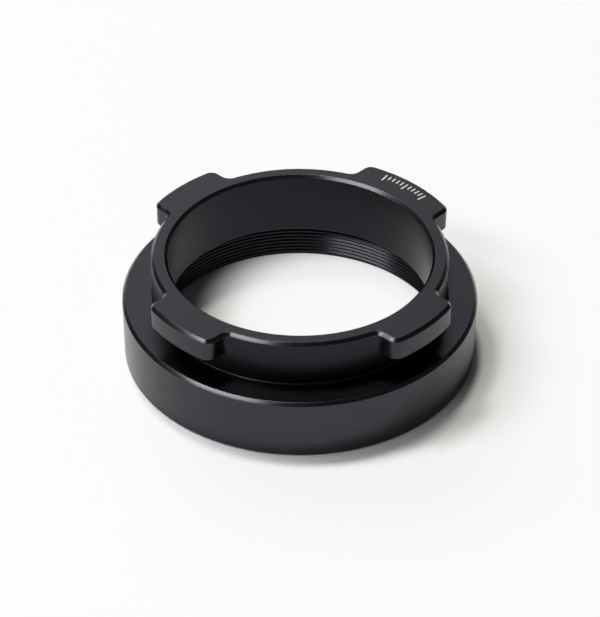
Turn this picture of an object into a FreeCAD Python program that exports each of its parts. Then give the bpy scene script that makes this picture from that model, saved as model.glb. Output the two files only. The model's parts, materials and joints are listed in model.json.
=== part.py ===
"""Lens mount adapter: one turned and milled aluminium ring.

A wide flange stands on the base plane and holds a fine filter thread from below. A narrower neck rises
from it round a plain bore and carries four bayonet lugs at its rim. The axis is +Z through the origin.
"""
import FreeCAD, Part
import math
import os

import Sketcher

NODE = "adapter_ring"
TOLERANCE = 1e-4

# Driving sizes in millimetres and degrees: name, value, what it measures.
SIZES = [
    ("thread_diameter", 52.0, "nominal diameter of the filter thread"),
    ("thread_pitch", 0.75, "pitch of the filter thread"),
    ("thread_length", 6.5, "base plane to the end of the thread"),
    ("relief_width", 1.5, "height of the relief groove above the thread"),
    ("relief_clearance", 0.3, "relief groove beyond the thread's root, radial"),
    ("mouth_clearance", 0.1, "thread's mouth beyond the thread's root, radial"),
    ("stop_step", 3.0, "thread's nominal radius in to the plain bore"),
    ("shoulder_thickness", 3.2, "relief groove up to the flange's upper face"),
    ("flange_wall", 5.15, "thread's nominal radius out to the flange's outside"),
    ("neck_wall", 2.85, "plain bore out to the neck's outside"),
    ("groove_width", 4.4, "flange's upper face to the underside of the lugs"),
    ("lug_thickness", 4.1, "underside of the lugs to the rim"),
    ("lug_reach", 3.85, "neck's outside to the tips of the lugs"),
    ("lug_width", 15.0, "across the parallel sides of a plain lug"),
    ("key_lug_width", 19.7, "across the parallel sides of the wide key lug"),
    ("key_lug_angle", 45.9, "direction of the key lug, from +X towards +Y"),
    ("second_lug_shift", 1.1, "second lug, past a quarter turn from the key lug"),
    ("third_lug_shift", -0.8, "third lug, past a half turn from the key lug"),
    ("fourth_lug_shift", 1.0, "fourth lug, past three quarter turns from the key lug"),
    ("lug_tip_radius", 2.0, "rounded outer corners of the lugs"),
    ("lug_root_radius", 1.5, "cutter radius left where a lug meets the neck"),
    ("rim_chamfer", 0.55, "upper outer edge, all along neck and lugs"),
    ("bore_chamfer", 0.5, "upper edge of the bore"),
    ("flange_chamfer", 0.55, "upper outer edge of the flange"),
    ("base_chamfer", 0.25, "lower outer edge of the flange"),
    ("neck_root_radius", 0.3, "tool radius between flange and neck"),
]

# Radii and heights that follow from the driving sizes, as sheet expressions.
THREAD_RADIUS = "sizes.thread_diameter / 2"
THREAD_DEPTH = "5 / 8 * sqrt(3) / 2 * sizes.thread_pitch"
MOUTH_CHAMFER = f"{THREAD_DEPTH} + sizes.mouth_clearance"
CREST_RADIUS = f"{THREAD_RADIUS} - {THREAD_DEPTH}"
RELIEF_RADIUS = f"{THREAD_RADIUS} + sizes.relief_clearance"
FLANGE_RADIUS = f"{THREAD_RADIUS} + sizes.flange_wall"
BORE_RADIUS = f"{THREAD_RADIUS} - sizes.stop_step"
NECK_RADIUS = f"{BORE_RADIUS} + sizes.neck_wall"
NECK_MIDDLE = f"{BORE_RADIUS} + sizes.neck_wall / 2"
LUG_RADIUS = f"{NECK_RADIUS} + sizes.lug_reach"
STOP_HEIGHT = "sizes.thread_length + sizes.relief_width"
FLANGE_HEIGHT = f"{STOP_HEIGHT} + sizes.shoulder_thickness"
LUG_UNDERSIDE = f"{FLANGE_HEIGHT} + sizes.groove_width"
RIM_HEIGHT = f"{LUG_UNDERSIDE} + sizes.lug_thickness"

# The lugs in turn: name, width, direction.
LUGS = [
    ("key_lug", "sizes.key_lug_width", "sizes.key_lug_angle"),
    ("second_lug", "sizes.lug_width", "sizes.key_lug_angle + 90 + sizes.second_lug_shift"),
    ("third_lug", "sizes.lug_width", "sizes.key_lug_angle + 180 + sizes.third_lug_shift"),
    ("fourth_lug", "sizes.lug_width", "sizes.key_lug_angle + 270 + sizes.fourth_lug_shift"),
]

ORIGIN_POINT = (-1, 1)
X_AXIS = -1
START = 1
END = 2
CENTRE = 3


def make_sheet(doc):
    """Puts the driving sizes into a sheet, each cell under its own name."""
    sheet = doc.addObject("Spreadsheet::Sheet", "sizes")
    for row, (name, value, meaning) in enumerate(SIZES, start=1):
        sheet.set(f"A{row}", meaning)
        sheet.set(f"B{row}", str(value))
        sheet.setAlias(f"B{row}", name)
    doc.recompute()
    return sheet


def make_sketch(body, name, role):
    """Adds an empty sketch on one of the body's own origin planes."""
    sketch = body.newObject("Sketcher::SketchObject", name)
    plane = next(item for item in body.Origin.OriginFeatures if item.Role == role)
    sketch.AttachmentSupport = (plane, "")
    sketch.MapMode = "FlatFace"
    return sketch


def dimension(sketch, kind, *arguments, expression, measure):
    """Adds a dimension to a sketch and ties it to an expression of the sheet."""
    number = sketch.addConstraint(Sketcher.Constraint(kind, *arguments, measure(expression)))
    sketch.setExpression(f"Constraints[{number}]", expression)


def turn_ring(body, measure):
    """Turns flange, neck, bore, thread wall and relief groove as one section about the axis."""
    sketch = make_sketch(body, "ring_section", "XZ_Plane")
    # Each step runs level to its radius, then upright to its height, starting at the thread's mouth.
    steps = [
        (FLANGE_RADIUS, FLANGE_HEIGHT),
        (NECK_RADIUS, RIM_HEIGHT),
        (BORE_RADIUS, STOP_HEIGHT),
        (RELIEF_RADIUS, "sizes.thread_length"),
        (CREST_RADIUS, None),
    ]
    here = FreeCAD.Vector(measure(CREST_RADIUS), 0, 0)
    lines = []
    for radius, height in steps:
        corner = FreeCAD.Vector(measure(radius), here.y, 0)
        top = FreeCAD.Vector(corner.x, measure(height) if height else 0, 0)
        level = sketch.addGeometry(Part.LineSegment(here, corner))
        upright = sketch.addGeometry(Part.LineSegment(corner, top))
        sketch.addConstraint(Sketcher.Constraint("Horizontal", level))
        sketch.addConstraint(Sketcher.Constraint("Vertical", upright))
        lines += [level, upright]
        here = top
    for line, following in zip(lines, lines[1:] + lines[:1]):
        sketch.addConstraint(Sketcher.Constraint("Coincident", line, END, following, START))
    sketch.addConstraint(Sketcher.Constraint("PointOnObject", lines[0], START, X_AXIS))
    for upright, (radius, height) in zip(lines[1::2], steps):
        dimension(sketch, "DistanceX", *ORIGIN_POINT, upright, START, expression=radius, measure=measure)
        if height:
            dimension(sketch, "DistanceY", *ORIGIN_POINT, upright, END, expression=height, measure=measure)
    ring = body.newObject("PartDesign::Revolution", "turned_ring")
    ring.Profile = sketch
    ring.ReferenceAxis = (sketch, ["V_Axis"])
    ring.Angle = 360


def add_lug(body, name, width, direction, measure):
    """Stands one parallel-sided lug out from the neck, between the groove and the rim."""
    sketch = make_sketch(body, f"{name}_outline", "XY_Plane")
    sketch.setExpression("AttachmentOffset.Base.z", LUG_UNDERSIDE)
    sketch.setExpression("AttachmentOffset.Rotation.Angle", direction)
    half_width = measure(width) / 2
    axis = FreeCAD.Vector(0, 0, 1)
    arcs = []
    for radius in (LUG_RADIUS, NECK_MIDDLE):
        circle = Part.Circle(FreeCAD.Vector(), axis, measure(radius))
        half_angle = math.asin(half_width / measure(radius))
        arc = sketch.addGeometry(Part.ArcOfCircle(circle, -half_angle, half_angle))
        sketch.addConstraint(Sketcher.Constraint("Coincident", arc, CENTRE, *ORIGIN_POINT))
        dimension(sketch, "Radius", arc, expression=radius, measure=measure)
        arcs.append(sketch.Geometry[arc])
    tip, root = 0, 1
    for corner, ends in ((END, "EndPoint"), (START, "StartPoint")):
        side = sketch.addGeometry(Part.LineSegment(getattr(arcs[root], ends), getattr(arcs[tip], ends)))
        sketch.addConstraint(Sketcher.Constraint("Horizontal", side))
        sketch.addConstraint(Sketcher.Constraint("Coincident", side, START, root, corner))
        sketch.addConstraint(Sketcher.Constraint("Coincident", side, END, tip, corner))
        points = (*ORIGIN_POINT, side, END) if corner == END else (side, END, *ORIGIN_POINT)
        dimension(sketch, "DistanceY", *points, expression=f"{width} / 2", measure=measure)
    lug = body.newObject("PartDesign::Pad", name)
    lug.Profile = sketch
    lug.setExpression("Length", "sizes.lug_thickness")


def dress_edges(body, kind, name, size, chosen):
    """Adds a Fillet or Chamfer of one size on the edges of the body that a test picks out."""
    body.Document.recompute()
    base = body.Tip
    edges = [f"Edge{number}" for number, edge in enumerate(base.Shape.Edges, start=1) if chosen(edge)]
    if not edges:
        raise RuntimeError(f"no edge was found for {name}")
    feature = body.newObject(f"PartDesign::{kind}", name)
    feature.Base = (base, edges)
    feature.setExpression("Radius" if kind == "Fillet" else "Size", size)


def circle_at(radius, height):
    """A test for the round edge about the axis at a radius and a height."""

    def chosen(edge):
        spans = (edge.BoundBox.ZMin - height, edge.BoundBox.ZMax - height)
        level = max(abs(span) for span in spans) < TOLERANCE
        round_edge = isinstance(edge.Curve, Part.Circle) and edge.Curve.Center.distanceToPoint(
            FreeCAD.Vector(0, 0, height)) < TOLERANCE
        return level and round_edge and abs(edge.Curve.Radius - radius) < TOLERANCE

    return chosen


def upright_at(radius, low):
    """A test for the upright corners of the lugs at a radius, above a height."""

    def chosen(edge):
        if not isinstance(edge.Curve, Part.Line) or edge.BoundBox.ZMin < low - TOLERANCE:
            return False
        upright = max(edge.BoundBox.XLength, edge.BoundBox.YLength) < TOLERANCE
        point = edge.Vertexes[0].Point
        return upright and abs(math.hypot(point.x, point.y) - radius) < TOLERANCE

    return chosen


def rim_outside(inner_radius, height):
    """A test for the outline of neck and lugs on the rim, outside a radius."""

    def chosen(edge):
        middle = edge.valueAt((edge.FirstParameter + edge.LastParameter) / 2)
        level = edge.BoundBox.ZMin > height - TOLERANCE
        return level and math.hypot(middle.x, middle.y) > inner_radius

    return chosen


def make_ring(doc, measure):
    """Builds the adapter: turned ring, lugs, then the rounded and chamfered edges."""
    body = doc.addObject("PartDesign::Body", NODE)
    body.Label = NODE
    turn_ring(body, measure)
    for name, width, direction in LUGS:
        add_lug(body, name, width, direction, measure)
    underside = measure(LUG_UNDERSIDE)
    rim = measure(RIM_HEIGHT)
    flange_top = measure(FLANGE_HEIGHT)
    neck = measure(NECK_RADIUS)
    flange = measure(FLANGE_RADIUS)
    dress_edges(body, "Fillet", "lug_roots", "sizes.lug_root_radius", upright_at(neck, underside))
    dress_edges(body, "Fillet", "lug_tips", "sizes.lug_tip_radius", upright_at(measure(LUG_RADIUS), underside))
    dress_edges(body, "Chamfer", "rim_edge", "sizes.rim_chamfer", rim_outside(measure(NECK_MIDDLE), rim))
    dress_edges(body, "Chamfer", "bore_edge", "sizes.bore_chamfer", circle_at(measure(BORE_RADIUS), rim))
    dress_edges(body, "Chamfer", "flange_edge", "sizes.flange_chamfer", circle_at(flange, flange_top))
    dress_edges(body, "Chamfer", "base_edge", "sizes.base_chamfer", circle_at(flange, 0))
    dress_edges(body, "Chamfer", "thread_mouth", MOUTH_CHAMFER, circle_at(measure(CREST_RADIUS), 0))
    dress_edges(body, "Fillet", "neck_root", "sizes.neck_root_radius", circle_at(neck, flange_top))
    body.Placement = FreeCAD.Placement()
    return body


def check(doc, parts):
    """Stops unless every object is sound and every part is one valid solid."""
    failed = [item.Name for item in doc.Objects if {"Invalid", "Error"} & set(item.State)]
    if failed:
        raise RuntimeError(f"not built: {failed}")
    for part in parts:
        if part.Shape.isNull() or not part.Shape.isValid() or len(part.Shape.Solids) != 1:
            raise RuntimeError(f"{part.Label} is not one valid solid")


def main():
    doc = FreeCAD.newDocument("lens_mount_adapter")
    sheet = make_sheet(doc)
    parts = [make_ring(doc, sheet.evalExpression)]
    doc.recompute()
    check(doc, parts)
    os.makedirs("parts", exist_ok=True)
    for part in parts:
        part.Shape.exportStep(f"parts/{part.Label}.step")
        box = part.Shape.BoundBox
        print(part.Label, f"{part.Shape.Volume:.2f} mm3", f"{box.XLength:.2f} x {box.YLength:.2f} x {box.ZLength:.2f}")


main()
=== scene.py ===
import json
import math

import bmesh
import bpy
from mathutils import Matrix, Vector


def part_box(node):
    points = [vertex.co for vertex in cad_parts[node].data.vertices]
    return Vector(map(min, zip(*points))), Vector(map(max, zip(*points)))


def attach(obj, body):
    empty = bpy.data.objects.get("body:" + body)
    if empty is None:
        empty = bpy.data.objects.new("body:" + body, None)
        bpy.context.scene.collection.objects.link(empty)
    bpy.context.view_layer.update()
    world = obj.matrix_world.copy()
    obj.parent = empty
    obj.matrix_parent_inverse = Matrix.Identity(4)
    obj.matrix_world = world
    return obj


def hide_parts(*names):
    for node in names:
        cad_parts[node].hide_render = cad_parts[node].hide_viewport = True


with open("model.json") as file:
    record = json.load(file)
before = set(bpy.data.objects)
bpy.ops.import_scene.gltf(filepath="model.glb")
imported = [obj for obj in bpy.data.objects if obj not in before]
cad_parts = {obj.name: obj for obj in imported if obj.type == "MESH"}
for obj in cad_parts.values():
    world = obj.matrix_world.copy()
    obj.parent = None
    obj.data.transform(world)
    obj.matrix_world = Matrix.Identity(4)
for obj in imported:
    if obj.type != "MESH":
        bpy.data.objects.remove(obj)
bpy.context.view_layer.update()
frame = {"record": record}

# Lens mount adapter: one ring of black anodised aluminium. A wide flange stands on the floor
# and carries a fine inner thread. A narrower neck rises from it, with four bayonet lugs at its
# rim, one of them wider than the rest. All lengths are in millimetres until the mesh is made.

MM = 0.001
RING = "adapter_ring"
mounts = {mount["name"]: mount for mount in frame["record"]["mounts"]}
ring_low, ring_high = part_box(RING)

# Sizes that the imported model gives
FLANGE_RADIUS = (ring_high.y - ring_low.y) / 2 / MM
RIM_HEIGHT = ring_high.z / MM
BORE_RADIUS = mounts["plain_bore"]["dims"]["r_mm"]
BORE_LENGTH = mounts["plain_bore"]["dims"]["length_mm"]
BORE_FOOT = mounts["plain_bore"]["pos_m"][2] / MM - BORE_LENGTH / 2
THREAD_CREST = mounts["filter_thread"]["dims"]["r_mm"]

# Sizes that the model's solids share but do not name
FLANGE_HEIGHT = 11.2
FLANGE_CHAMFER = 0.55
BASE_CHAMFER = 0.25
NECK_RADIUS = 25.85
NECK_ROOT_RADIUS = 0.3
LUG_RADIUS = 29.7
LUG_UNDERSIDE = 15.6
LUG_TIP_RADIUS = 2.0
LUG_ROOT_RADIUS = 1.5
RIM_CHAMFER = 0.55
BORE_CHAMFER = RIM_HEIGHT - BORE_FOOT - BORE_LENGTH
THREAD_LENGTH = 6.5
THREAD_MOUTH = 26.1
RELIEF_RADIUS = 26.3
KEY_LUG = (45.9, 19.7)
LUGS = (KEY_LUG, (137.0, 15.0), (225.1, 15.0), (316.9, 15.0))  # direction in degrees, width

# The thread's ridges, which are drawn here only
THREAD_PITCH = 0.75
THREAD_DEPTH = 0.33

# Every cut edge is broken by a hair, which is what catches the light along it
BROKEN_EDGE = 0.05
LUG_LOWER_EDGE = 0.07
EDGE_BAND = 1.0  # a face between two edges is a chamfer if it is narrower than this
ON_SURFACE = 0.05  # a place this near a surface counts as lying on it
OUTER_SHINE = 0.8  # the chamfers outside have this share of the bore chamfer's shine
# The bore's darker film is painted shade for that hollow; the neck takes this share of it
NECK_DULL_SHADE = 0.85  # the neck's outside has this share of the bore's duller film

# How finely the round shapes are cut, and which edges stay sharp in the shading
ARC_STEP = math.radians(0.75)
EDGE_STEPS = 3
ROOT_STEPS = 6
TIP_STEPS = 8
FOOT_STEPS = 7
WELD = 0.004 * MM
CREASE = math.radians(38)
THREAD_CREASE = math.radians(75)

# Kinds of node and of tree input that are used often
MATH = "ShaderNodeMath"
FLOAT = "NodeSocketFloat"
WHOLE = "NodeSocketInt"
MATERIAL = "NodeSocketMaterial"


def linear(hex_colour):
    """An sRGB hex colour as the linear RGBA that a shader takes."""
    channels = [int(hex_colour[i:i + 2], 16) / 255 for i in (1, 3, 5)]
    return [c / 12.92 if c <= 0.04045 else ((c + 0.055) / 1.055) ** 2.4 for c in channels] + [1.0]


def add_node(tree, kind, inputs=None, **settings):
    """Adds a node with its settings; an input that is a node or a socket is linked, any other is set."""
    made = tree.nodes.new(kind)
    for name, value in settings.items():
        setattr(made, name, value)
    for key, value in (inputs or {}).items():
        if isinstance(value, bpy.types.Node):
            value = value.outputs[0]
        if isinstance(value, bpy.types.NodeSocket):
            tree.links.new(value, made.inputs[key])
        else:
            made.inputs[key].default_value = value
    return made


def new_material(name):
    """An empty node material, with its tree and its output."""
    made = bpy.data.materials.new(name)
    made.use_nodes = True
    made.node_tree.nodes.clear()
    return made, made.node_tree, made.node_tree.nodes.new("ShaderNodeOutputMaterial")


def black_anodised_aluminium():
    """Aluminium, turned and milled, blasted with fine glass beads, then anodised and dyed black.

    The dyed oxide film leaves about a twentieth of the metal's mirror, without colour, and the
    blasting spreads it to a satin sheen. Three values on the mesh say where the shader differs:
    the chamfers are a little greyer and smoother, the bore and the neck are duller and darkened
    with painted shade, and the thread, which the blasting does not reach, is smoother and darkened with
    painted shade for its depth.
    """
    made, tree, output = new_material("black anodised aluminium, bead blasted")
    place = add_node(tree, "ShaderNodeTexCoord").outputs["Object"]
    # Real blasting dimples are about 0.05 mm wide. They are drawn 0.2 mm wide, or they would not show.
    dimple = 0.2 * MM
    cloud = 9.0 * MM
    dimples = add_node(tree, "ShaderNodeTexNoise", {
        "Vector": place, "Scale": 1 / dimple, "Detail": 2.0, "Roughness": 0.6})
    clouds = add_node(tree, "ShaderNodeTexNoise", {
        "Vector": place, "Scale": 1 / cloud, "Detail": 3.0, "Roughness": 0.55})
    edge = add_node(tree, "ShaderNodeAttribute", attribute_name="cut_edge").outputs["Fac"]
    dull_and_shade = add_node(tree, "ShaderNodeAttribute", attribute_name="dull_film_and_painted_shade").outputs["Fac"]
    thread = add_node(tree, "ShaderNodeAttribute", attribute_name="smooth_thread_and_painted_shade").outputs["Fac"]
    colour = add_node(tree, "ShaderNodeMix", {0: clouds, 6: linear("#3d3c41"), 7: linear("#424146")},
                      data_type="RGBA")
    # The greyer chamfers are the film's own; the darker bore, neck and thread are painted shade for these
    # hollows
    for share, shade in ((edge, "#5e5d61"), (dull_and_shade, "#2a292e"), (thread, "#38373c")):
        colour = add_node(tree, "ShaderNodeMix", {0: share, 6: colour.outputs[2], 7: linear(shade)},
                          data_type="RGBA")
    gloss = add_node(tree, "ShaderNodeMapRange", {
        "Value": dimples, "From Min": 0.3, "From Max": 0.7, "To Min": 0.28, "To Max": 0.29})
    for share, change in ((edge, -0.05), (dull_and_shade, 0.06), (thread, -0.08)):
        gloss = add_node(tree, MATH, {0: share, 1: change, 2: gloss}, operation="MULTIPLY_ADD")
    bump = add_node(tree, "ShaderNodeBump", {
        "Height": dimples, "Strength": 0.025, "Distance": 0.02 * MM})
    shader = add_node(tree, "ShaderNodeBsdfPrincipled", {
        "Base Color": colour.outputs[2], "Metallic": 1.0, "Roughness": gloss, "Normal": bump})
    tree.links.new(shader.outputs[0], output.inputs["Surface"])
    return made


def white_engraving_paint():
    """Matt white paint, wiped into shallow engraved lines: chalky, with a slightly uneven fill."""
    made, tree, output = new_material("white engraving paint, matt")
    place = add_node(tree, "ShaderNodeTexCoord").outputs["Object"]
    grain = 0.15 * MM
    fill = add_node(tree, "ShaderNodeTexNoise", {
        "Vector": place, "Scale": 1 / grain, "Detail": 2.0, "Roughness": 0.6})
    colour = add_node(tree, "ShaderNodeMix", {
        0: fill, 6: linear("#cfcbc4"), 7: linear("#f1eee8")}, data_type="RGBA")
    bump = add_node(tree, "ShaderNodeBump", {"Height": fill, "Strength": 0.3, "Distance": 0.02 * MM})
    shader = add_node(tree, "ShaderNodeBsdfPrincipled", {
        "Base Color": colour.outputs[2], "Roughness": 0.6, "Normal": bump})
    tree.links.new(shader.outputs[0], output.inputs["Surface"])
    return made


def white_card():
    """Matt white studio card with no gloss; inside the bore a painted glow lifts the ring's shadow to
    white, for the camera and in reflections.
    """
    made, tree, output = new_material("white studio card")
    white = linear("#fbfbfa")
    card = add_node(tree, "ShaderNodeBsdfDiffuse", {"Color": white})
    painted_glow = add_node(tree, "ShaderNodeEmission", {"Color": white, "Strength": 1.0})
    place = add_node(tree, "ShaderNodeTexCoord").outputs["Object"]
    # Painted light: the card glows in a spot round the hole's middle, whitening the ring's shadow inside
    # the bore
    middle = Vector((6.0, 7.5, 0.0)) * MM
    reach = 26.0 * MM
    spot = add_node(tree, "ShaderNodeMapping", {
        "Vector": place, "Location": middle, "Scale": [reach] * 3}, vector_type="TEXTURE")
    fade = add_node(tree, "ShaderNodeTexGradient", {"Vector": spot}, gradient_type="SPHERICAL")
    fade = add_node(tree, "ShaderNodeMapRange", {
        "Value": fade, "From Max": 0.47, "To Max": 0.84}, interpolation_type="SMOOTHSTEP")
    rays = add_node(tree, "ShaderNodeLightPath").outputs
    seen = add_node(tree, MATH, {0: rays["Is Camera Ray"], 1: rays["Is Glossy Ray"]}, operation="MAXIMUM")
    seen = add_node(tree, MATH, {0: seen, 1: rays["Is Transmission Ray"]}, operation="MAXIMUM")
    share = add_node(tree, MATH, {0: seen, 1: fade}, operation="MULTIPLY")
    shader = add_node(tree, "ShaderNodeMixShader", {0: share, 1: card, 2: painted_glow})
    tree.links.new(shader.outputs[0], output.inputs["Surface"])
    return made


def on_circle(centre, radius, start, end, steps):
    """Points from start to end, and the directions they lie in, both as seen from the centre."""
    angles = [start + (end - start) * i / steps for i in range(steps + 1)]
    ways = [Vector((math.cos(a), math.sin(a))) for a in angles]
    return [(centre + way * radius, way) for way in ways]


def half_lug(half_width):
    """Points and outward normals from a lug's middle to where its root leaves the neck."""
    y = half_width - LUG_TIP_RADIUS
    tip = Vector((math.sqrt((LUG_RADIUS - LUG_TIP_RADIUS) ** 2 - y ** 2), y))
    y = half_width + LUG_ROOT_RADIUS
    root = Vector((math.sqrt((NECK_RADIUS + LUG_ROOT_RADIUS) ** 2 - y ** 2), y))
    tip_way = math.atan2(tip.y, tip.x)
    root_way = math.atan2(root.y, root.x)
    steps = math.ceil(tip_way / ARC_STEP)
    points = on_circle(Vector((0, 0)), LUG_RADIUS, 0, tip_way, steps)[:-1]
    points += on_circle(tip, LUG_TIP_RADIUS, tip_way, math.pi / 2, TIP_STEPS)
    foot = on_circle(root, LUG_ROOT_RADIUS, -math.pi / 2, root_way - math.pi, FOOT_STEPS)
    return points + [(point, -way) for point, way in foot], root_way


def lug_ring_outline():
    """The outline of neck and lugs once round: points and outward normals, by growing azimuth."""
    whole = []
    for number, (direction, width) in enumerate(LUGS):
        half, root_way = half_lug(width / 2)
        mirrored = [(Vector((p.x, -p.y)), Vector((n.x, -n.y))) for p, n in reversed(half[1:])]
        turn = Matrix.Rotation(math.radians(direction), 2)
        whole += [(turn @ p, turn @ n) for p, n in mirrored + half]
        next_direction, next_width = LUGS[(number + 1) % len(LUGS)]
        next_root_way = half_lug(next_width / 2)[1]
        start = math.radians(direction) + root_way
        end = math.radians(next_direction) - next_root_way
        end += 2 * math.pi if end < start else 0
        steps = math.ceil((end - start) / ARC_STEP)
        whole += on_circle(Vector((0, 0)), NECK_RADIUS, start, end, steps)[1:-1]
    whole.sort(key=lambda pair: math.atan2(pair[0].y, pair[0].x) % (2 * math.pi))
    return whole


def rounded_corner(before, corner, after, radius, steps):
    """The short arc that replaces a corner of a profile line."""
    to_before = (Vector(before) - Vector(corner)).normalized()
    to_after = (Vector(after) - Vector(corner)).normalized()
    half = to_before.angle(to_after) / 2
    middle = Vector(corner) + (to_before + to_after).normalized() * radius / math.sin(half)
    start = Vector(corner) + to_before * radius / math.tan(half) - middle
    end = Vector(corner) + to_after * radius / math.tan(half) - middle
    way = start.normalized()
    return [middle + way.slerp(end.normalized(), i / steps) * radius for i in range(steps + 1)]


def profile(corners):
    """A profile line with its corners rounded; corners are (across, height, radius).

    Each point comes with 1 where it lies on a broken outer edge, and 0 elsewhere.
    """
    points = []
    for i, (across, height, radius) in enumerate(corners):
        if not radius:
            points.append((across, height, 0.0))
            continue
        steps = ROOT_STEPS if radius > BROKEN_EDGE else EDGE_STEPS
        wear = 0.0 if radius > BROKEN_EDGE else 1.0
        arc = rounded_corner(corners[i - 1][:2], (across, height), corners[i + 1][:2], radius, steps)
        points += [(point.x, point.y, wear) for point in arc]
    return points


def ring_loops(outline):
    """Closed loops round the ring, from the thread's mouth out, up and back in to its upper end.

    Each loop is a list of points, with 1 where it lies on a broken outer edge and 0 elsewhere.
    """
    azimuths = [math.atan2(point.y, point.x) for point, normal in outline]
    reaches = [point.length - NECK_RADIUS for point, normal in outline]
    loops = []

    def add_circles(line):
        for across, height, wear in line:
            points = [(across * math.cos(a), across * math.sin(a), height) for a in azimuths]
            loops.append((points, wear))

    def add_outlines(line):
        for inset, height, wear in line:
            points = [((p - n * inset).x, (p - n * inset).y, height) for p, n in outline]
            loops.append((points, wear))

    add_circles(profile([
        (THREAD_MOUTH, 0, 0),
        (FLANGE_RADIUS - BASE_CHAMFER, 0, BROKEN_EDGE),
        (FLANGE_RADIUS, BASE_CHAMFER, BROKEN_EDGE),
        (FLANGE_RADIUS, FLANGE_HEIGHT - FLANGE_CHAMFER, BROKEN_EDGE),
        (FLANGE_RADIUS - FLANGE_CHAMFER, FLANGE_HEIGHT, BROKEN_EDGE),
        (NECK_RADIUS, FLANGE_HEIGHT, NECK_ROOT_RADIUS),
        (NECK_RADIUS, LUG_UNDERSIDE, 0)]))
    # The lugs' lower edge fades out where they run into the neck, which has none
    for step in range(EDGE_STEPS + 1):
        turn = math.pi / 2 * step / EDGE_STEPS
        points = []
        for (point, normal), reach in zip(outline, reaches):
            edge = min(LUG_LOWER_EDGE, reach / 2)
            inset = point - normal * edge * (1 - math.sin(turn))
            points.append((inset.x, inset.y, LUG_UNDERSIDE + edge * (1 - math.cos(turn))))
        loops.append((points, 0.0))
    rim = profile([
        (0, LUG_UNDERSIDE, 0),
        (0, RIM_HEIGHT - RIM_CHAMFER, BROKEN_EDGE),
        (RIM_CHAMFER, RIM_HEIGHT, BROKEN_EDGE),
        (2 * RIM_CHAMFER, RIM_HEIGHT, 0)])
    add_outlines(rim[1:-1])
    inside = profile([
        (NECK_RADIUS - 2 * RIM_CHAMFER, RIM_HEIGHT, 0),
        (BORE_RADIUS + BORE_CHAMFER, RIM_HEIGHT, BROKEN_EDGE),
        (BORE_RADIUS, RIM_HEIGHT - BORE_CHAMFER, BROKEN_EDGE),
        (BORE_RADIUS, BORE_FOOT, BROKEN_EDGE),
        (RELIEF_RADIUS, BORE_FOOT, 0),
        (RELIEF_RADIUS, THREAD_LENGTH, 0),
        (THREAD_MOUTH, THREAD_LENGTH, 0)])
    add_circles(inside[1:])
    return loops


def node_tree(name, sizes):
    """A Geometry Nodes tree with a named input for each size, and its input and output nodes."""
    tree = bpy.data.node_groups.new(name, "GeometryNodeTree")
    tree.interface.new_socket("Geometry", in_out="OUTPUT", socket_type="NodeSocketGeometry")
    tree.interface.new_socket("Geometry", in_out="INPUT", socket_type="NodeSocketGeometry")
    for label, (kind, value) in sizes.items():
        tree.interface.new_socket(label, in_out="INPUT", socket_type=kind)
    return tree, tree.nodes.new("NodeGroupInput").outputs, tree.nodes.new("NodeGroupOutput").inputs[0]


def run_tree(tree, sizes, start_mesh, name):
    """Runs a tree on a mesh with its inputs set, and returns the result as a plain mesh."""
    carrier = bpy.data.objects.new(name, start_mesh)
    bpy.context.scene.collection.objects.link(carrier)
    modifier = carrier.modifiers.new(name, "NODES")
    modifier.node_group = tree
    for item in tree.interface.items_tree:
        if item.in_out == "INPUT" and item.name in sizes:
            modifier[item.identifier] = sizes[item.name][1]
    evaluated = carrier.evaluated_get(bpy.context.evaluated_depsgraph_get())
    made = bpy.data.meshes.new_from_object(evaluated)
    made.name = name
    carrier.modifiers.clear()
    bpy.data.objects.remove(carrier)
    return made


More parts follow.
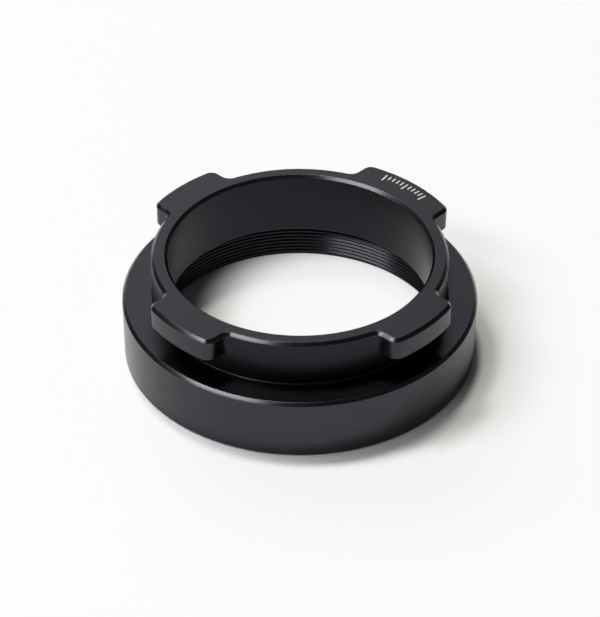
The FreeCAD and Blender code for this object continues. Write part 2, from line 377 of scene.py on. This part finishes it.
def thread_mesh(mouth_points, finish):
    """The inner thread: a sheet of rows that climb with the helix, laid round the mouth's own points."""
    sizes = {
        "Pitch": (FLOAT, THREAD_PITCH * MM),
        "Length": (FLOAT, THREAD_LENGTH * MM),
        "Crest Radius": (FLOAT, THREAD_CREST * MM),
        "Depth": (FLOAT, THREAD_DEPTH * MM),
        "Mouth Radius": (FLOAT, THREAD_MOUTH * MM),
        "Flank Start": (FLOAT, 0.05),
        "Flank End": (FLOAT, 0.47),
        "Rows per Pitch": (WHOLE, 10),
        "Finish": (MATERIAL, finish)}
    tree, given, result = node_tree("filter thread", sizes)
    columns = add_node(tree, "GeometryNodeAttributeDomainSize", {0: given["Geometry"]}).outputs[0]
    edges = add_node(tree, MATH, {0: columns, 1: 1.0}, operation="ADD")
    turns = add_node(tree, MATH, {0: given["Length"], 1: given["Pitch"]}, operation="DIVIDE")
    turns = add_node(tree, MATH, {0: turns, 1: 1.0}, operation="ADD")
    rows = add_node(tree, MATH, {0: turns, 1: given["Rows per Pitch"]}, operation="MULTIPLY")
    rows = add_node(tree, MATH, {0: rows}, operation="CEIL")
    rows = add_node(tree, MATH, {0: rows, 1: 1.0}, operation="ADD")
    sheet = add_node(tree, "GeometryNodeMeshGrid", {"Vertices X": edges, "Vertices Y": rows})
    index = add_node(tree, "GeometryNodeInputIndex")
    column = add_node(tree, MATH, {0: index, 1: rows}, operation="DIVIDE")
    column = add_node(tree, MATH, {0: column}, operation="FLOOR")
    row = add_node(tree, MATH, {0: index, 1: rows}, operation="MODULO")
    source = add_node(tree, MATH, {0: column, 1: columns}, operation="MODULO")
    again = add_node(tree, MATH, {0: column, 1: columns}, operation="DIVIDE")
    again = add_node(tree, MATH, {0: again}, operation="FLOOR")
    # The way out from the axis at this column, and how far round it is, in turns
    there = add_node(tree, "GeometryNodeSampleIndex", {
        0: given["Geometry"], 1: add_node(tree, "GeometryNodeInputPosition"), 2: source},
        data_type="FLOAT_VECTOR")
    way = add_node(tree, "ShaderNodeVectorMath", {0: there}, operation="NORMALIZE")
    split = add_node(tree, "ShaderNodeSeparateXYZ", {0: way})
    round_by = add_node(tree, MATH, {0: split.outputs[1], 1: split.outputs[0]}, operation="ARCTAN2")
    round_by = add_node(tree, MATH, {0: round_by, 1: 2 * math.pi}, operation="DIVIDE")
    round_by = add_node(tree, MATH, {0: round_by}, operation="FRACT")
    round_by = add_node(tree, MATH, {0: round_by, 1: again}, operation="ADD")
    # Height along the helix, cut off level at both ends
    step = add_node(tree, MATH, {0: row, 1: given["Rows per Pitch"]}, operation="DIVIDE")
    climb = add_node(tree, MATH, {0: step, 1: round_by}, operation="ADD")
    climb = add_node(tree, MATH, {0: climb, 1: 1.0}, operation="SUBTRACT")
    height = add_node(tree, MATH, {0: climb, 1: given["Pitch"]}, operation="MULTIPLY")
    height = add_node(tree, "ShaderNodeClamp", {0: height, 1: 0.0, 2: given["Length"]})
    # The ridge at this height: straight flanks between a narrow crest and a narrower root
    phase = add_node(tree, MATH, {0: height, 1: given["Pitch"]}, operation="DIVIDE")
    phase = add_node(tree, MATH, {0: phase, 1: round_by}, operation="SUBTRACT")
    phase = add_node(tree, MATH, {0: phase, 1: 2.0}, operation="ADD")
    phase = add_node(tree, MATH, {0: phase, 1: 0.5}, operation="PINGPONG")
    sunk = add_node(tree, "ShaderNodeMapRange", {
        "Value": phase, "From Min": given["Flank Start"], "From Max": given["Flank End"]})
    sunk = add_node(tree, MATH, {0: sunk, 1: given["Depth"]}, operation="MULTIPLY")
    radius = add_node(tree, MATH, {0: sunk, 1: given["Crest Radius"]}, operation="ADD")
    # Lead-in cones at the mouth and at the relief, so that both ends are true circles
    mouth = add_node(tree, MATH, {0: given["Mouth Radius"], 1: height}, operation="SUBTRACT")
    radius = add_node(tree, MATH, {0: radius, 1: mouth}, operation="MAXIMUM")
    left = add_node(tree, MATH, {0: given["Length"], 1: height}, operation="SUBTRACT")
    inner = add_node(tree, MATH, {0: given["Mouth Radius"], 1: left}, operation="SUBTRACT")
    radius = add_node(tree, MATH, {0: radius, 1: inner}, operation="MAXIMUM")
    flat = add_node(tree, "ShaderNodeVectorMath", {0: way, "Scale": radius}, operation="SCALE")
    flat = add_node(tree, "ShaderNodeSeparateXYZ", {0: flat})
    place = add_node(tree, "ShaderNodeCombineXYZ", {0: flat.outputs[0], 1: flat.outputs[1], 2: height})
    laid = add_node(tree, "GeometryNodeSetPosition", {0: sheet, "Position": place})
    closed = add_node(tree, "GeometryNodeMergeByDistance", {0: laid, "Distance": WELD})
    real = add_node(tree, "GeometryNodeRealizeInstances", {0: closed})
    painted = add_node(tree, "GeometryNodeSetMaterial", {0: real, "Material": given["Finish"]})
    tree.links.new(painted.outputs[0], result)
    mouth_mesh = bpy.data.meshes.new("thread mouth")
    mouth_mesh.from_pydata([Vector(point) * MM for point in mouth_points], [], [])
    return run_tree(tree, sizes, mouth_mesh, "filter thread")


def index_line_mesh(finish):
    """A short row of plain engraved lines on the wide lug, every fifth one longer."""
    sizes = {
        "Lines": (WHOLE, 11),
        "Spacing Angle": (FLOAT, math.radians(1.9)),
        "Middle Direction": (FLOAT, math.radians(46.4)),
        "Row Radius": (FLOAT, 27.2 * MM),
        "Line Length": (FLOAT, 1.9 * MM),
        "Line Width": (FLOAT, 0.26 * MM),
        "Short Share": (FLOAT, 0.6),
        "Face Height": (FLOAT, RIM_HEIGHT * MM),
        "Stands Proud": (FLOAT, 0.012 * MM),
        "Sunk Depth": (FLOAT, 0.06 * MM),
        "Finish": (MATERIAL, finish)}
    tree, given, result = node_tree("index lines", sizes)
    # One line: a bar with round ends, filled and given its depth, closed below
    bar = add_node(tree, "GeometryNodeCurvePrimitiveQuadrilateral", {
        "Width": given["Line Length"], "Height": given["Line Width"]})
    nearly_half = 0.48
    end = add_node(tree, MATH, {0: given["Line Width"], 1: nearly_half}, operation="MULTIPLY")
    bar = add_node(tree, "GeometryNodeFilletCurve", {
        "Curve": bar, "Count": 4, "Radius": end}, mode="POLY")
    face = add_node(tree, "GeometryNodeFillCurve", {0: bar}, mode="NGONS")
    depth = add_node(tree, MATH, {0: given["Stands Proud"], 1: given["Sunk Depth"]}, operation="ADD")
    sides = add_node(tree, "GeometryNodeExtrudeMesh", {
        "Mesh": face, "Offset": (0.0, 0.0, 1.0), "Offset Scale": depth, "Individual": False})
    below = add_node(tree, "GeometryNodeFlipFaces", {0: face})
    both = add_node(tree, "GeometryNodeJoinGeometry")
    tree.links.new(sides.outputs[0], both.inputs[0])
    tree.links.new(below.outputs[0], both.inputs[0])
    solid = add_node(tree, "GeometryNodeMergeByDistance", {0: both, "Distance": WELD})
    # The row: one point for each line along an arc on the lug's top face
    points = add_node(tree, "GeometryNodePoints", {"Count": given["Lines"]})
    index = add_node(tree, "GeometryNodeInputIndex")
    middle = add_node(tree, MATH, {0: given["Lines"], 1: 1.0}, operation="SUBTRACT")
    middle = add_node(tree, MATH, {0: middle, 1: 0.5}, operation="MULTIPLY")
    place = add_node(tree, MATH, {0: index, 1: middle}, operation="SUBTRACT")
    angle = add_node(tree, MATH, {0: place, 1: given["Spacing Angle"]}, operation="MULTIPLY")
    angle = add_node(tree, MATH, {0: angle, 1: given["Middle Direction"]}, operation="ADD")
    fifth = add_node(tree, MATH, {0: place, 1: 5.0}, operation="MODULO")
    fifth = add_node(tree, MATH, {0: fifth}, operation="ABSOLUTE")
    short = add_node(tree, MATH, {0: fifth, 1: 0.5}, operation="GREATER_THAN")
    share = add_node(tree, "ShaderNodeMapRange", {
        "Value": short, "To Min": 1.0, "To Max": given["Short Share"]})
    # Short lines keep their outer ends on the same arc as the long ones
    lost = add_node(tree, MATH, {0: 1.0, 1: share}, operation="SUBTRACT")
    lost = add_node(tree, MATH, {0: lost, 1: given["Line Length"]}, operation="MULTIPLY")
    lost = add_node(tree, MATH, {0: lost, 1: 0.5}, operation="MULTIPLY")
    radius = add_node(tree, MATH, {0: given["Row Radius"], 1: lost}, operation="ADD")
    x = add_node(tree, MATH, {0: angle}, operation="COSINE")
    y = add_node(tree, MATH, {0: angle}, operation="SINE")
    x = add_node(tree, MATH, {0: x, 1: radius}, operation="MULTIPLY")
    y = add_node(tree, MATH, {0: y, 1: radius}, operation="MULTIPLY")
    z = add_node(tree, MATH, {0: given["Face Height"], 1: given["Sunk Depth"]}, operation="SUBTRACT")
    spot = add_node(tree, "ShaderNodeCombineXYZ", {0: x, 1: y, 2: z})
    row = add_node(tree, "GeometryNodeSetPosition", {0: points, "Position": spot})
    turn = add_node(tree, "ShaderNodeCombineXYZ", {2: angle})
    size = add_node(tree, "ShaderNodeCombineXYZ", {0: share, 1: 1.0, 2: 1.0})
    lines = add_node(tree, "GeometryNodeInstanceOnPoints", {
        "Points": row, "Instance": solid, "Rotation": turn, "Scale": size})
    real = add_node(tree, "GeometryNodeRealizeInstances", {0: lines})
    painted = add_node(tree, "GeometryNodeSetMaterial", {0: real, "Material": given["Finish"]})
    tree.links.new(painted.outputs[0], result)
    return run_tree(tree, sizes, bpy.data.meshes.new("index line start"), "index lines")


def dullness_and_shade(place):
    """How much of the duller film and its painted shade a place has: all of it in the bore, less outside,
    none on the lugs.
    """
    across = math.hypot(place.x, place.y)
    if not THREAD_LENGTH < place.z < RIM_HEIGHT - RIM_CHAMFER or across > NECK_RADIUS + LUG_ROOT_RADIUS:
        return 0.0
    if across < NECK_RADIUS - ON_SURFACE or place.z < BORE_FOOT + ON_SURFACE:
        return 1.0
    if place.z < FLANGE_HEIGHT + NECK_ROOT_RADIUS:
        return 0.0
    return NECK_DULL_SHADE * min(1.0, 1 - (across - NECK_RADIUS) / LUG_ROOT_RADIUS)


def ring_mesh(loops, thread, finish):
    """The whole ring as one closed mesh: the loops bridged in turn, with the thread welded in."""
    shell = bmesh.new()
    shell.from_mesh(thread)
    edge_layer = shell.faces.layers.float.new("cut_edge")
    dull_shade_layer = shell.faces.layers.float.new("dull_film_and_painted_shade")
    band_layer = shell.faces.layers.int.new("band")
    thread_layer = shell.faces.layers.float.new("smooth_thread_and_painted_shade")
    # The thread's faces take a smoother film, darkened as painted shade for the thread's depth
    for face in shell.faces:
        face[thread_layer] = 1.0
    rows = [[shell.verts.new(Vector(point) * MM) for point in points] for points, wear in loops]
    wears = [wear for points, wear in loops]
    count = len(rows[0])
    for lower, upper, lower_wear, upper_wear in zip(rows, rows[1:], wears, wears[1:]):
        widest = max((a.co - b.co).length for a, b in zip(lower, upper))
        narrow = widest < EDGE_BAND * MM
        broken = narrow and lower_wear and upper_wear
        # The bore's chamfer is flat from edge to edge; the ones outside are softened by the blasting
        inside = lower[0].co.xy.length < (BORE_RADIUS + BORE_CHAMFER) * MM
        crisp = narrow and inside and widest > BORE_CHAMFER * MM
        shine = 1.0 if crisp else OUTER_SHINE
        for i in range(count):
            j = (i + 1) % count
            face = shell.faces.new((lower[i], lower[j], upper[j], upper[i]))
            face[band_layer] = narrow + crisp
            face[edge_layer] = shine if broken else 0.0
            # The bore and the neck get a duller film, darkened as painted shade in these hollows
            face[dull_shade_layer] = 0.0 if broken else dullness_and_shade(face.calc_center_median() / MM)
    bmesh.ops.remove_doubles(shell, verts=shell.verts[:], dist=WELD)
    bmesh.ops.dissolve_degenerate(shell, edges=shell.edges[:], dist=WELD / 4)
    bmesh.ops.recalc_face_normals(shell, faces=shell.faces[:])
    for face in shell.faces:
        face.smooth = True
        face.material_index = 0
    for edge in shell.edges:
        # Wide faces, soft edges and the crisp chamfer are each shaded on their own
        in_thread = all(0 < vert.co.z < THREAD_LENGTH * MM for vert in edge.verts)
        limit = THREAD_CREASE if in_thread else CREASE
        same_band = len({face[band_layer] for face in edge.link_faces}) == 1
        edge.smooth = same_band and edge.calc_face_angle(math.pi) < limit
    shell.faces.layers.int.remove(band_layer)
    made = bpy.data.meshes.new(RING + "_finished")
    shell.to_mesh(made)
    shell.free()
    made.materials.clear()
    made.materials.append(finish)
    return made


def piece(name, mesh):
    """An object of the ring's own body, at the origin, with its place in its mesh."""
    made = bpy.data.objects.new(name, mesh)
    bpy.context.scene.collection.objects.link(made)
    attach(made, "root")
    return made


PANEL_DISTANCE = 1.8


def towards(azimuth, elevation):
    """A direction from the ring; azimuth is in degrees from the camera's side, round to the right."""
    a = math.radians(azimuth)
    e = math.radians(elevation)
    return Vector((math.sin(a) * math.cos(e), -math.cos(a) * math.cos(e), math.sin(e)))


def add_lamp(name, kind, way, **settings):
    """A lamp that shines on the ring from the given direction, and that the camera does not see."""
    lamp = bpy.data.lights.new(name, kind)
    for setting, value in settings.items():
        setattr(lamp, setting, value)
    made = bpy.data.objects.new(name, lamp)
    bpy.context.scene.collection.objects.link(made)
    made.rotation_euler = way.to_track_quat("Z", "Y").to_euler()
    made.visible_camera = False
    return made


def add_panel(name, way, width, height, level, roll=0):
    """A flat panel, sized for a metre's distance but put further off; level 1 is as bright as white."""
    width *= PANEL_DISTANCE
    height *= PANEL_DISTANCE
    made = add_lamp(name, "AREA", way, shape="RECTANGLE", size=width, size_y=height,
                    energy=level * math.pi * width * height)
    made.location = way * PANEL_DISTANCE
    made.rotation_euler.rotate_axis("Z", math.radians(roll))
    return made


anodised = black_anodised_aluminium()
outline = lug_ring_outline()
loops = ring_loops(outline)
thread = thread_mesh(loops[0][0], anodised)
ring = piece("ring_body", ring_mesh(loops, thread, anodised))
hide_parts(RING)
piece("index_lines", index_line_mesh(white_engraving_paint()))

# The floor: a wide round sheet of white card, a hair under the base so that they share no plane
FLOOR_RADIUS = 3.0
FLOOR_SIDES = 96
FLOOR_DROP = Matrix.Translation((0, 0, -0.02 * MM))
floor_shell = bmesh.new()
bmesh.ops.create_circle(
    floor_shell, cap_ends=True, radius=FLOOR_RADIUS, segments=FLOOR_SIDES, matrix=FLOOR_DROP)
floor_mesh = bpy.data.meshes.new("floor")
floor_shell.to_mesh(floor_mesh)
floor_shell.free()
floor_mesh.materials.append(white_card())
floor = bpy.data.objects.new("floor", floor_mesh)
bpy.context.scene.collection.objects.link(floor)

# Soft studio light: three wide lamps from overhead and the left, a pale panel behind, and a small
# bright softbox at the front left, which draws the light lines along the chamfers and the thread
world = bpy.data.worlds.new("dim surroundings")
bpy.context.scene.world = world
world.use_nodes = True
world.node_tree.nodes.clear()
glow = add_node(world.node_tree, "ShaderNodeBackground", {"Color": linear("#f4f5ff"), "Strength": 0.05})
add_node(world.node_tree, "ShaderNodeOutputWorld", {"Surface": glow})
WARM = linear("#fffcef")[:3]
COOL = linear("#f7f9ff")[:3]
add_lamp("back left lamp", "SUN", towards(238, 66), energy=0.90, angle=math.radians(12), color=COOL)
add_lamp("overhead lamp", "SUN", towards(200, 75), energy=0.99, angle=math.radians(9), color=WARM)
add_lamp("left lamp", "SUN", towards(264, 55), energy=0.81, angle=math.radians(22), color=COOL)
add_panel("panel behind", towards(204, 36), 1.0, 0.45, 1.03)
add_panel("small softbox at the left", towards(306, 45.7), 0.64, 0.18, 6.0, roll=18)

# The camera, from the circles of the ring as they lie in the picture of 600 by 617
IMAGE_HEIGHT = 617
FOCAL_PIXELS = 2366.4
SENSOR_HEIGHT = 36.0
CAMERA_PLACE = Vector((0.229, -330.42, 263.40)) * MM
CAMERA_AIM = Vector((0.05, -3.66, 10.0)) * MM
CAMERA_ROLL = math.radians(0.2)
view = bpy.data.cameras.new("camera")
view.sensor_fit = "VERTICAL"
view.sensor_height = SENSOR_HEIGHT
view.lens = FOCAL_PIXELS * SENSOR_HEIGHT / IMAGE_HEIGHT
view.clip_start = 0.01
camera = bpy.data.objects.new("camera", view)
bpy.context.scene.collection.objects.link(camera)
look = (CAMERA_AIM - CAMERA_PLACE).to_track_quat("-Z", "Y").to_matrix()
look = look @ Matrix.Rotation(CAMERA_ROLL, 3, "Z")
camera.matrix_world = Matrix.LocRotScale(CAMERA_PLACE, look.to_quaternion(), None)
bpy.context.scene.camera = camera
bpy.context.scene.view_settings.view_transform = "Standard"
